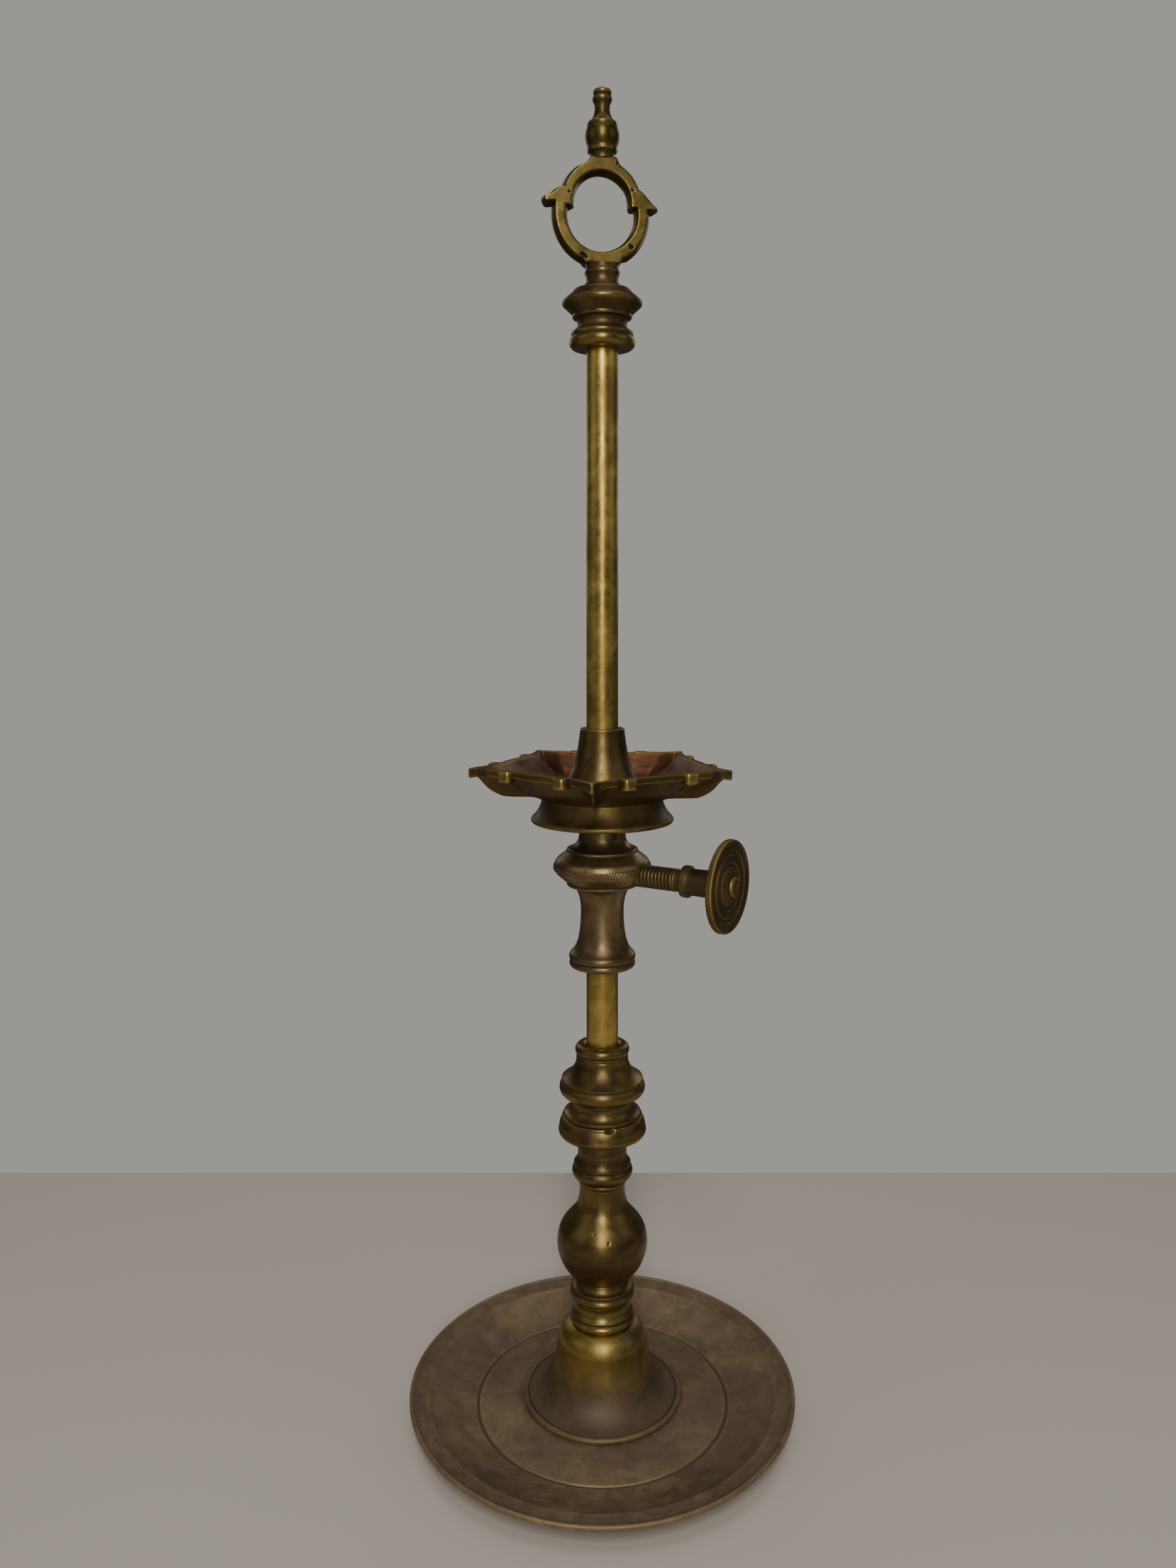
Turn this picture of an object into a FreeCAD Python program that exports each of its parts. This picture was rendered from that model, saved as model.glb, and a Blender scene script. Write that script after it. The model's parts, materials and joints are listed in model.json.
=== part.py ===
import FreeCAD, Part
import math
import os

# Brass standing oil lamp (samai), in millimetres.
# +Z points up, the floor is z = 0 and the stem's axis is the Z axis.
# The lamp's front faces -Y.

# ---- driving dimensions -------------------------------------------------
TOTAL_HEIGHT = 610.0      # floor to the top of the knob
DISH_R = 95.0             # outer radius of the base dish's rolled lip
FOOT_RING_IN = 57.0       # the ring that the dish stands on
FOOT_RING_OUT = 64.0

SEAT_Z = 6.6              # the bell's seat on the dish
BELL_TOP = 45.9
COLLAR_TOP = 68.6
BALUSTER_TOP = 134.6
SKIRT_TOP = 162.6
LIP_TOP = 188.2           # top of the rod socket
SPOOL_BOTTOM = 504.0
SPOOL_TOP = 538.6
RING_TOP = 581.4

STUD_R = 6.0              # tie stud through the stacked stem
STUD_HOLE_R = 6.2
STUD_BOTTOM = 1.4
STUD_TOP = 165.4
WASHER_R = 12.5
WASHER_T = 1.2
NUT_FLATS = 18.0
NUT_T = 4.6
BOSS_TOP = 10.0           # raised centre of the dish, inside the bell
BOSS_UNDER = 7.6

ROD_R_LOW = 7.5           # the rod narrows slightly towards the top
ROD_R_HIGH = 7.0
ROD_BOTTOM = 176.0
SOCKET_GAP = 0.1          # around the rod in the socket's mouth
TENON_BOTTOM = 166.4      # lower tenon, screwed into the socket above the stud
TOP_TENON_R = 5.0         # upper tenon, screwed into the spool
TOP_TENON_TOP = 527.0
PEG_R = 2.5               # pegs that hold the ring handle and the knob
PEG_LENGTH = 4.0

SLIDER_BORE_R = 7.6       # bore of every piece that slides on the rod
SLEEVE_BOTTOM = 226.4
SLEEVE_TOP = 303.2
FOOT_BOTTOM = 295.4       # the pan's foot
FOOT_WEB_UNDER = 303.4
FOOT_TOP = 306.4
PAN_BOTTOM = 306.55
PAN_FLOOR = 310.0
RIM_TOP = 322.0           # top of the pan's rim
RIM_UNDER = 318.8
TUBE_TOP = 338.5
TUBE_SPIGOT_R = 11.0

SPOUTS = 5
SPOUT_TURN = -94.0        # direction of the front spout, from +X
SPOUT_PITCH = 360.0 / SPOUTS
SPOUT_TIP = 61.5          # rim outline: the reach of a spout,
RIM_ROOT = (53.8, 6.6)    # two corners, along and across the spout,
RIM_CORNER = (47.0, 14.2)
SIDE_MIDDLE = 46.4        # and the reach of the middle of a side
LUG_TURN = 40.8           # a lug's direction, from its spout's direction
LUG_WIDTH = 6.4
LUG_OUT = 2.6             # how far a lug stands out of the rim
LUG_DEPTH = 5.4
LUG_HEIGHT = 5.0
LUG_CORNER_R = 1.4

SCREW_TURN = -30.0        # direction of the thumbscrew, from +X
SCREW_Z = 271.8
SCREW_R = 5.3             # crest of its thread
SCREW_HOLE_R = 5.4
SCREW_TIP = 7.65          # distances along the thumbscrew, from the rod's axis
DISC_BACK = 62.0
DISC_FACE = 65.1
DISC_R = 21.0
RIVET_R = 2.5
RIVET_GAP = 0.1

RING_TURN = 9.0           # the ring handle's plane, turned about the stem
RING_T = 9.5
RING_BEVEL = 1.5          # the bar is this much narrower at its two faces
RING_LEFT = -0.8          # the ring's own centre line, from the stem's axis
BAR_Z = 558.6             # the round lower bar: centre, outer and inner radius
BAR_R = 21.4
HOLE_R = 14.2
ARCH_Z = 563.3            # the arch above it
ARCH_R = 18.2
ARCH_HOLE_R = 11.4
STEP_Z = 561.4            # where the hole steps from wide to narrow

UP = FreeCAD.Vector(0, 0, 1)
ORIGIN = FreeCAD.Vector(0, 0, 0)


# ---- helpers ------------------------------------------------------------
def wire(steps, place):
    """Closed wire from steps: (a, b) is a straight run, (a, b, c, d) an arc
    through (a, b) to (c, d), and a list is one smooth curve through its points."""
    edges = []
    first = place(*steps[0])
    here = first
    for step in steps[1:]:
        if isinstance(step, list):
            through = [place(*p) for p in step]
            curve = Part.BSplineCurve()
            curve.interpolate([here] + through)
            edges.append(curve.toShape())
            here = through[-1]
        elif len(step) == 4:
            middle = place(*step[:2])
            end = place(*step[2:])
            edges.append(Part.Arc(here, middle, end).toShape())
            here = end
        else:
            end = place(*step)
            edges.append(Part.LineSegment(here, end).toShape())
            here = end
    if here.distanceToPoint(first) > 1e-6:
        edges.append(Part.LineSegment(here, first).toShape())
    return Part.Wire(edges)


def turned(*outline):
    """Solid turned about the stem, from an outline of (radius, height)."""
    face = Part.Face(wire(outline, lambda r, z: FreeCAD.Vector(r, 0, z)))
    return face.revolve(ORIGIN, UP, 360)


def turned_on_screw(*outline):
    """Solid turned about the thumbscrew, from an outline of (radius, distance)."""
    face = Part.Face(wire(outline, lambda r, s: FreeCAD.Vector(s, 0, r)))
    solid = face.revolve(ORIGIN, FreeCAD.Vector(1, 0, 0), 360)
    solid.rotate(ORIGIN, UP, SCREW_TURN)
    solid.translate(FreeCAD.Vector(0, 0, SCREW_Z))
    return solid


def cylinder(radius, low, high):
    return Part.makeCylinder(radius, high - low, FreeCAD.Vector(0, 0, low))


# ---- the base -----------------------------------------------------------
def base_dish():
    """Shallow dish with a raised centre, a turned step and a rolled lip."""
    return turned(
        (STUD_HOLE_R, BOSS_UNDER), (STUD_HOLE_R, BOSS_TOP),
        (20.0, BOSS_TOP), (23.4, SEAT_Z), (40.5, SEAT_Z),
        (60.9, 3.4), (61.4, 2.6), (62.0, 2.6), (62.6, 3.4),
        (74.5, 5.6, 84.6, 9.9),
        (85.3, 10.6),
        (89.4, 11.0, 92.9, 11.6),
        (94.2, 12.3, DISH_R, 11.0),
        (94.7, 9.9, 93.6, 9.4),
        (85.8, 8.2),
        (75.2, 3.6, FOOT_RING_OUT + 0.6, 0.9),
        (FOOT_RING_OUT, 0.0), (FOOT_RING_IN, 0.0), (FOOT_RING_IN - 0.6, 1.2),
        (40.0, 4.1), (22.4, 4.2), (19.0, BOSS_UNDER))


def base_bell():
    """Hollow bell whose flange ends in a round bead on the dish."""
    return turned(
        (33.6, SEAT_Z), (39.0, SEAT_Z),
        (39.4, 8.2, 38.0, 9.2),
        (37.0, 9.0, 36.5, 8.4),
        (36.0, 8.8),
        [(30.2, 11.4), (26.0, 16.4), (23.9, 23.5), (22.6, 30.8), (22.1, 36.0)],
        [(21.3, 40.0), (18.6, 43.8), (14.6, BELL_TOP)],
        (STUD_HOLE_R, BELL_TOP), (STUD_HOLE_R, 41.0), (13.0, 41.0),
        [(17.6, 38.6), (19.2, 34.0), (20.2, 27.0), (21.6, 19.4), (25.4, 12.6), (29.0, 9.4)])


def base_washer():
    """Plain washer under the dish."""
    ring = cylinder(WASHER_R, BOSS_UNDER - WASHER_T, BOSS_UNDER)
    return ring.cut(cylinder(STUD_HOLE_R, 0, BOSS_UNDER + 1))


def base_nut():
    """Hexagon nut on the lower end of the tie stud."""
    top = BOSS_UNDER - WASHER_T
    across_corners = NUT_FLATS / math.sqrt(3)
    corners = []
    for i in range(7):
        turn = math.radians(60 * i)
        corners.append(FreeCAD.Vector(across_corners * math.cos(turn),
                                      across_corners * math.sin(turn), top - NUT_T))
    prism = Part.Face(Part.makePolygon(corners)).extrude(FreeCAD.Vector(0, 0, NUT_T))
    return prism.cut(cylinder(STUD_R, 0, top + 1))


# ---- the stem -----------------------------------------------------------
def tie_stud():
    """Stud through the dish, bell, collar and baluster into the rod socket."""
    return cylinder(STUD_R, STUD_BOTTOM, STUD_TOP)


def lower_collar():
    """Spacer with two beads, each under a concave neck."""
    return turned(
        (STUD_HOLE_R, BELL_TOP), (14.2, BELL_TOP),
        (16.0, 47.8, 14.7, 49.8), (14.3, 50.2), (14.7, 50.5), (14.7, 51.7), (14.2, 52.0),
        (12.9, 54.8, 13.1, 57.5), (13.6, 57.7), (13.6, 58.7), (14.2, 59.1),
        (16.05, 61.3, 14.8, 63.3), (14.4, 63.6), (14.7, 63.8), (14.7, 64.9), (14.2, 65.1),
        (12.2, 66.6, 11.3, COLLAR_TOP), (STUD_HOLE_R, COLLAR_TOP))


def baluster():
    """Pear-shaped ball with a beaded neck above it."""
    ball_z = 87.4
    ball_r = 22.0
    foot_r = math.sqrt(ball_r ** 2 - (ball_z - COLLAR_TOP) ** 2)
    shoulder_z = 94.0
    shoulder_r = math.sqrt(ball_r ** 2 - (shoulder_z - ball_z) ** 2)
    return turned(
        (STUD_HOLE_R, COLLAR_TOP), (foot_r, COLLAR_TOP),
        (ball_r, ball_z, shoulder_r, shoulder_z),
        [(19.9, 96.5), (18.3, 98.9), (16.4, 101.2), (14.5, 103.4), (12.9, 105.7), (11.9, 108.2),
         (11.3, 110.8), (11.0, 114.0), (11.0, 118.2)],
        (11.9, 119.3, 11.2, 120.3), (12.0, 120.7),
        (14.7, 124.0, 13.5, 127.0), (13.1, 127.3), (13.6, 127.5), (13.6, 128.6), (13.1, 128.9),
        (12.0, 131.4, 11.8, BALUSTER_TOP), (STUD_HOLE_R, BALUSTER_TOP))


def drip_skirt():
    """Flared skirt that keeps oil off the baluster."""
    return turned(
        (STUD_HOLE_R, BALUSTER_TOP), (11.8, BALUSTER_TOP), (11.8, 145.6),
        (18.4, 144.6), (19.6, 143.4), (20.3, 143.4),
        (21.1, 144.8, 20.9, 146.6),
        (20.4, 149.4, 19.4, 151.6),
        (19.2, 152.5, 18.4, 152.7), (18.1, 153.0), (18.3, 153.2), (18.3, 154.2), (17.8, 154.5),
        (15.4, 157.0, 14.9, 160.4), (15.4, 160.6), (15.4, 161.6), (14.8, 161.8),
        (14.8, SKIRT_TOP), (STUD_HOLE_R, SKIRT_TOP))


def rod_socket():
    """Flared socket for the rod, with a rounded lip and a bead at its foot."""
    return turned(
        (STUD_R, SKIRT_TOP), (16.0, SKIRT_TOP),
        (20.5, 166.6, 19.3, 169.7), (18.9, 170.0), (19.3, 170.2), (19.3, 171.3), (18.8, 171.5),
        [(16.2, 173.4), (13.6, 176.6), (12.4, 181.8)],
        (12.1, 182.0), (12.1, 183.4),
        (12.9, 185.4, 11.4, 187.8),
        (10.2, LIP_TOP, 9.0, 187.9),
        (ROD_R_LOW + SOCKET_GAP, 187.0), (ROD_R_LOW + SOCKET_GAP, ROD_BOTTOM),
        (STUD_R, ROD_BOTTOM))


def stem_rod():
    """Slightly tapered rod with a tenon at each end."""
    return turned(
        (0.0, TENON_BOTTOM), (STUD_R, TENON_BOTTOM), (STUD_R, ROD_BOTTOM),
        (ROD_R_LOW, ROD_BOTTOM), (ROD_R_HIGH, SPOOL_BOTTOM),
        (TOP_TENON_R, SPOOL_BOTTOM), (TOP_TENON_R, TOP_TENON_TOP), (0.0, TOP_TENON_TOP))


# ---- the finial ---------------------------------------------------------
def finial_spool():
    """Turned spool screwed onto the rod, with a peg for the ring handle."""
    hole_top = TOP_TENON_TOP + 0.5
    peg_top = SPOOL_TOP + PEG_LENGTH
    return turned(
        (TOP_TENON_R, SPOOL_BOTTOM), (12.8, SPOOL_BOTTOM), (13.4, 504.5),
        (14.5, 506.8, 13.7, 508.9), (13.2, 509.2),
        (13.7, 510.3, 13.1, 511.4), (12.0, 511.9),
        (10.8, 514.1, 11.6, 516.2), (12.6, 516.7),
        (13.1, 517.5, 12.9, 518.2), (14.0, 519.3), (16.9, 521.9),
        (17.5, 523.0, 17.0, 524.2), (12.8, 527.4), (12.6, 528.3), (8.6, 529.6),
        (7.5, 530.8, 7.0, 533.0), (7.2, 534.3),
        (7.75, 535.5, 7.2, 536.8),
        (7.1, 537.8, 7.4, SPOOL_TOP), (PEG_R, SPOOL_TOP), (PEG_R, peg_top),
        (0.0, peg_top), (0.0, hole_top), (TOP_TENON_R, hole_top))


def on_circle(radius, centre_z, across):
    """Point of a circle on the ring's centre line, above or below its centre."""
    rise = math.sqrt(radius ** 2 - across ** 2)
    return (RING_LEFT + across, centre_z + rise), (RING_LEFT + across, centre_z - rise)


def bevelled(outline, narrower, half_seat):
    """Solid between two faces, widest in its mid plane; the seats stay flat."""
    def moved(u, z, by):
        if abs(u) <= half_seat:
            return u, z
        out = (u - RING_LEFT, z - BAR_Z)
        k = 1 + by / math.hypot(*out)
        return RING_LEFT + out[0] * k, BAR_Z + out[1] * k

    sections = []
    for y, by in ((-RING_T / 2, narrower), (0, 0), (RING_T / 2, narrower)):
        steps = []
        for step in outline:
            if isinstance(step, list):
                steps.append([moved(*p, by) for p in step])
            elif len(step) == 4:
                steps.append((*moved(*step[:2], by), *moved(*step[2:], by)))
            else:
                steps.append(moved(*step, by))
        sections.append(wire(steps, lambda u, z: FreeCAD.Vector(u, y, z)))
    return Part.makeLoft(sections, True, True)


def ring_handle():
    """Flat ring for carrying: a round lower bar, and an arch that ends in two beaks."""
    half_foot = 7.4
    half_seat = 5.2
    outer = [
        (-half_foot, SPOOL_TOP), (half_foot, SPOOL_TOP), on_circle(BAR_R, BAR_Z, 9.4)[1],
        (*on_circle(BAR_R, BAR_Z, 17.6)[1], RING_LEFT + BAR_R, BAR_Z),
        (20.2, 561.5), (23.8, 561.3), (24.6, 562.0),
        [(21.6, 564.6), (18.7, 567.8), on_circle(ARCH_R, ARCH_Z, 17.0)[0]],
        (*on_circle(ARCH_R, ARCH_Z, 13.0)[0], *on_circle(ARCH_R, ARCH_Z, 8.3)[0]),
        (half_seat, RING_TOP), (-half_seat, RING_TOP), on_circle(ARCH_R, ARCH_Z, -6.8)[0],
        (*on_circle(ARCH_R, ARCH_Z, -12.6)[0], *on_circle(ARCH_R, ARCH_Z, -17.0)[0]),
        [(-19.6, 569.4), (-22.5, 567.2), (-25.6, 565.6)],
        (-26.6, 564.2, -25.2, 563.0), (-22.4, 563.6), (RING_LEFT - BAR_R + 0.1, 563.2),
        (RING_LEFT - BAR_R, BAR_Z),
        (*on_circle(BAR_R, BAR_Z, -17.6)[1], *on_circle(BAR_R, BAR_Z, -9.4)[1])]
    step_across = math.sqrt(HOLE_R ** 2 - (STEP_Z - BAR_Z) ** 2)
    hole = [
        (RING_LEFT - step_across, STEP_Z),
        (RING_LEFT, BAR_Z - HOLE_R, RING_LEFT + step_across, STEP_Z),
        (RING_LEFT + ARCH_HOLE_R, STEP_Z), (RING_LEFT + ARCH_HOLE_R, ARCH_Z),
        (RING_LEFT, ARCH_Z + ARCH_HOLE_R, RING_LEFT - ARCH_HOLE_R, ARCH_Z),
        (RING_LEFT - ARCH_HOLE_R, STEP_Z)]
    ring = bevelled(outer, -RING_BEVEL, half_foot)
    ring = ring.cut(bevelled(hole, RING_BEVEL, 0.0))
    ring = ring.cut(cylinder(PEG_R, SPOOL_TOP - 1, SPOOL_TOP + PEG_LENGTH))
    ring = ring.cut(cylinder(PEG_R, RING_TOP - PEG_LENGTH, RING_TOP + 1))
    ring.rotate(ORIGIN, UP, RING_TURN)
    return ring


def top_knob():
    """Small bottle-shaped knob, pegged into the ring."""
    button_r = 3.5
    button_z = 608.9
    dome_r = (button_r ** 2 + (TOTAL_HEIGHT - button_z) ** 2) / (2 * (TOTAL_HEIGHT - button_z))
    half_way = math.asin(button_r / dome_r) / 2
    peg_bottom = RING_TOP - PEG_LENGTH
    return turned(
        (0.0, peg_bottom), (PEG_R, peg_bottom), (PEG_R, RING_TOP), (5.2, RING_TOP),
        (4.9, 582.6, 5.8, 584.1), (6.4, 584.5), (6.5, 586.0), (6.2, 586.5),
        (7.4, 590.4, 6.4, 594.3),
        (6.4, 595.6, 5.4, 596.4),
        [(4.4, 597.6), (3.45, 600.3), (3.4, 602.9), (3.8, 604.0)],
        (4.35, 605.2, 3.9, 606.4), (3.4, 606.8),
        (4.0, 607.7, button_r, button_z),
        (dome_r * math.sin(half_way), TOTAL_HEIGHT - dome_r * (1 - math.cos(half_way)),
         0.0, TOTAL_HEIGHT))


# ---- the sliding group --------------------------------------------------
def pan_foot():
    """Flared foot under the pan, hollow below."""
    return turned(
        (SLIDER_BORE_R, FOOT_WEB_UNDER), (24.4, FOOT_WEB_UNDER),
        (27.2, 300.4, 30.4, FOOT_BOTTOM), (32.2, FOOT_BOTTOM),
        (33.0, 296.3, 32.6, 297.5), (32.3, 297.9),
        (29.4, 301.6, 27.9, FOOT_TOP), (SLIDER_BORE_R, FOOT_TOP))


def pan_tube():
    """Flared tube in the middle of the pan, around the rod."""
    return turned(
        (SLIDER_BORE_R, PAN_BOTTOM), (TUBE_SPIGOT_R, PAN_BOTTOM), (TUBE_SPIGOT_R, PAN_FLOOR),
        (22.8, PAN_FLOOR),
        [(18.4, 312.4), (14.9, 318.0), (12.7, 323.4), (11.1, 331.0), (10.2, 337.4)],
        (10.0, 338.3, 9.4, TUBE_TOP), (8.5, TUBE_TOP), (SLIDER_BORE_R, TUBE_TOP - 0.6))


def star(height, tip, root, corner, middle):
    """Five-pointed outline at one height. tip and middle are reaches from the stem, of a
    spout and of the middle of a side; root (where the keel starts) and corner (where a lug
    sits) are places along and across the spout."""
    half = SPOUT_PITCH / 2
    root_r, root_turn = math.hypot(*root), math.degrees(math.atan2(root[1], root[0]))
    corner_r, corner_turn = math.hypot(*corner), math.degrees(math.atan2(corner[1], corner[0]))
    points = []
    for i in range(SPOUTS):
        for r, turn in ((middle, -half), (corner_r, -corner_turn), (root_r, -root_turn),
                        (tip, 0.0), (root_r, root_turn), (corner_r, corner_turn)):
            bearing = math.radians(SPOUT_TURN + SPOUT_PITCH * i + turn)
            points.append(FreeCAD.Vector(r * math.cos(bearing), r * math.sin(bearing), height))
    return Part.makePolygon(points + points[:1])


def lug(turn, side):
    """Small block on the rim beside a spout."""
    back = LUG_OUT - LUG_DEPTH
    block = Part.makeBox(LUG_DEPTH, LUG_WIDTH, LUG_HEIGHT,
                         FreeCAD.Vector(back, -LUG_WIDTH / 2, RIM_TOP - LUG_HEIGHT))
    upright = [e for e in block.Edges
               if abs(e.tangentAt(e.FirstParameter).z) > 0.9 and e.CenterOfMass.x > back + 1]
    block = block.makeFillet(LUG_CORNER_R, upright)
    block.rotate(ORIGIN, UP, side * LUG_TURN)
    block.translate(FreeCAD.Vector(RIM_CORNER[0], side * RIM_CORNER[1], 0))
    block.rotate(ORIGIN, UP, turn)
    return block


def pan_bowl():
    """Five-spouted pan with keels under the spouts, a thick rim and lugs."""
    body = Part.makeLoft([
        star(PAN_BOTTOM, 28.9, (28.5, 0.9), (27.4, 7.4), 28.2),
        star(308.6, 41.6, (33.2, 1.7), (31.2, 8.7), 31.8),
        star(309.7, 47.6, (35.6, 2.5), (33.4, 9.8), 33.8),
        star(312.4, 53.1, (40.6, 3.9), (38.2, 11.6), 38.4),
        star(317.0, 57.4, (46.8, 6.2), (43.6, 13.0), 43.4),
        star(RIM_UNDER, 59.8, (50.0, 7.2), (46.2, 13.8), 45.4)], True, True)
    rim = Part.Face(star(RIM_UNDER, SPOUT_TIP, RIM_ROOT, RIM_CORNER, SIDE_MIDDLE))
    body = body.fuse(rim.extrude(FreeCAD.Vector(0, 0, RIM_TOP - RIM_UNDER)))
    for i in range(SPOUTS):
        turn = SPOUT_TURN + SPOUT_PITCH * i
        body = body.fuse(lug(turn, 1))
        body = body.fuse(lug(turn, -1))
    hollow = Part.makeLoft([
        star(PAN_FLOOR, 31.0, (29.0, 1.0), (26.8, 7.2), 27.4),
        star(312.4, 46.5, (36.4, 2.1), (34.2, 9.7), 34.4),
        star(315.0, 51.6, (40.6, 3.2), (38.2, 11.0), 38.2),
        star(318.0, 55.6, (46.0, 4.8), (42.2, 11.9), 42.0),
        star(RIM_TOP + 0.4, 58.2, (50.8, 5.9), (45.3, 12.7), 44.2)], True, True)
    body = body.cut(hollow)
    return body.cut(cylinder(TUBE_SPIGOT_R, PAN_BOTTOM - 1, PAN_FLOOR + 1))


def sleeve():
    """Clamping sleeve under the pan, with a threaded hole through its bulge."""
    shell = turned(
        (SLIDER_BORE_R, SLEEVE_BOTTOM), (14.6, SLEEVE_BOTTOM),
        (15.6, 227.9, 15.1, 229.3), (14.9, 229.5), (15.1, 229.7),
        (15.7, 231.4, 14.6, 233.4),
        [(12.9, 235.6), (11.6, 238.8), (10.5, 245.0), (10.1, 251.5), (10.4, 257.6), (11.6, 262.0)],
        (13.2, 264.2, 15.8, 265.2),
        (16.5, 265.8, 16.2, 266.6),
        (20.7, 270.4),
        (22.5, 274.4, 20.8, 278.2), (16.5, 281.7), (16.3, 282.5), (15.6, 283.0),
        (12.2, 285.2, 10.9, 289.5), (10.6, SLEEVE_TOP), (SLIDER_BORE_R, SLEEVE_TOP))
    hole = turned_on_screw((0, 0), (SCREW_HOLE_R, 0), (SCREW_HOLE_R, 30), (0, 30))
    return shell.cut(hole)


# ---- the thumbscrew -----------------------------------------------------
def thumbscrew_shank():
    """Screw with a bead and a plain neck behind its disc."""
    return turned_on_screw(
        (0.0, SCREW_TIP), (4.2, SCREW_TIP), (SCREW_R, SCREW_TIP + 1.1),
        (SCREW_R, 39.0), (4.8, 39.4), (4.8, 41.4), (5.8, 41.6),
        (7.2, 43.6, 6.3, 45.8), (6.1, 46.2),
        (6.2, 54.0, 6.7, 60.6), (7.3, DISC_BACK), (RIVET_R + RIVET_GAP, DISC_BACK),
        (RIVET_R + RIVET_GAP, 54.9), (0.0, 54.9))


def thumbscrew_disc():
    """Round grip with turned grooves on its face."""
    face = DISC_FACE - 0.3
    groove = DISC_FACE - 0.9
    return turned_on_screw(
        (RIVET_R + RIVET_GAP, DISC_BACK), (20.4, DISC_BACK),
        (DISC_R, 62.5), (DISC_R, 64.6), (20.5, DISC_FACE), (19.4, DISC_FACE),
        (18.9, face), (16.0, face), (15.6, groove), (14.9, groove), (14.5, face),
        (10.4, face), (10.0, groove), (9.3, groove), (8.9, face),
        (7.0, 65.6), (5.6, 66.0), (RIVET_R + RIVET_GAP, 66.0))


def thumbscrew_rivet():
    """Rivet through the disc, with a domed and dimpled head."""
    return turned_on_screw(
        (0.0, 55.0), (RIVET_R, 55.0), (RIVET_R, 66.1), (4.6, 66.1),
        (4.2, 67.2, 2.4, 67.8), (1.2, 67.9), (0.5, 67.1), (0.0, 67.1))


PARTS = (
    base_dish, base_bell, base_washer, base_nut, tie_stud, lower_collar, baluster,
    drip_skirt, rod_socket, stem_rod, finial_spool, ring_handle, top_knob,
    pan_foot, pan_tube, pan_bowl, sleeve,
    thumbscrew_shank, thumbscrew_disc, thumbscrew_rivet)

os.makedirs("parts", exist_ok=True)
for make in PARTS:
    shape = make()
    shape.exportStep("parts/" + make.__name__ + ".step")
    print(make.__name__, "valid" if shape.isValid() else "INVALID",
          len(shape.Solids), "solid,", round(shape.Volume / 1000, 1), "cm3")
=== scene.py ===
import json
import math

import bpy
import numpy as np
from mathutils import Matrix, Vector, geometry, noise


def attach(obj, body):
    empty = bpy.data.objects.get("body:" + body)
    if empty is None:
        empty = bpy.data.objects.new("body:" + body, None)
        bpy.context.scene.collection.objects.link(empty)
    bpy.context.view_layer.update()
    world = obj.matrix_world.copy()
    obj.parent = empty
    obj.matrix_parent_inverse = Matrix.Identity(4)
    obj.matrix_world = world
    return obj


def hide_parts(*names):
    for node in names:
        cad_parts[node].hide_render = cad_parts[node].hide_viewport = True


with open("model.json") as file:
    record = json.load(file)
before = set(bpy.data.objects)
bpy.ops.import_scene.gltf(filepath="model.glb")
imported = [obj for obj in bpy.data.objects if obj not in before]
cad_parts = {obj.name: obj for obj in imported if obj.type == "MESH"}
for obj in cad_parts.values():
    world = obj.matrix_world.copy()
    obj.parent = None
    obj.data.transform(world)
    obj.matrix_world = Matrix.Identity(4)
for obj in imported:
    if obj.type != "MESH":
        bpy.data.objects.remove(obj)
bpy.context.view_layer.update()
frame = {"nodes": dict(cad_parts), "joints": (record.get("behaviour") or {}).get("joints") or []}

# Looks of the brass standing oil lamp. Lengths are in millimetres, and MM turns them into
# the frame's metres. Only floor, lights and camera, at the end, are placed in metres.
# Directions about the stem are counted from +X.
MM = 0.001
UP = Vector((0, 0, 1))

joints = {joint["name"]: joint for joint in frame["joints"]}
screw_pivot = Vector(joints["screw_turn"]["pos_m"]) / MM
screw_axis = Vector(joints["screw_turn"]["axis"]).normalized()
screw_start = Vector((0, 0, screw_pivot.z))   # where the screw's axis crosses the stem's


# ---- meshes -------------------------------------------------------------
def add_piece(name, points, faces, body, material, replaced=(), wear_dirt_and_shade=None, passes=12):
    """Closed smooth mesh from points in millimetres, facing outward, riding on a body."""
    points = np.array(points, float)
    triangles = [(f[0], f[k], f[k + 1]) for f in faces for k in range(1, len(f) - 1)]
    a, b, c = points[np.array(triangles)].transpose(1, 0, 2)
    if (a * np.cross(b, c)).sum() < 0:
        faces = [f[::-1] for f in faces]
    mesh = bpy.data.meshes.new(name)
    mesh.from_pydata((points * MM).tolist(), [], faces)
    mesh.shade_smooth()
    piece = bpy.data.objects.new(name, mesh)
    bpy.context.scene.collection.objects.link(piece)
    mesh.materials.append(material)
    layer = mesh.attributes.new("wear_dirt_and_shade", "FLOAT", "POINT")
    layer.data.foreach_set("value", mesh_wear_and_shade(mesh, passes) if wear_dirt_and_shade is None else wear_dirt_and_shade)
    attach(piece, body)
    if replaced:
        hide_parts(*replaced)
    return piece


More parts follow.
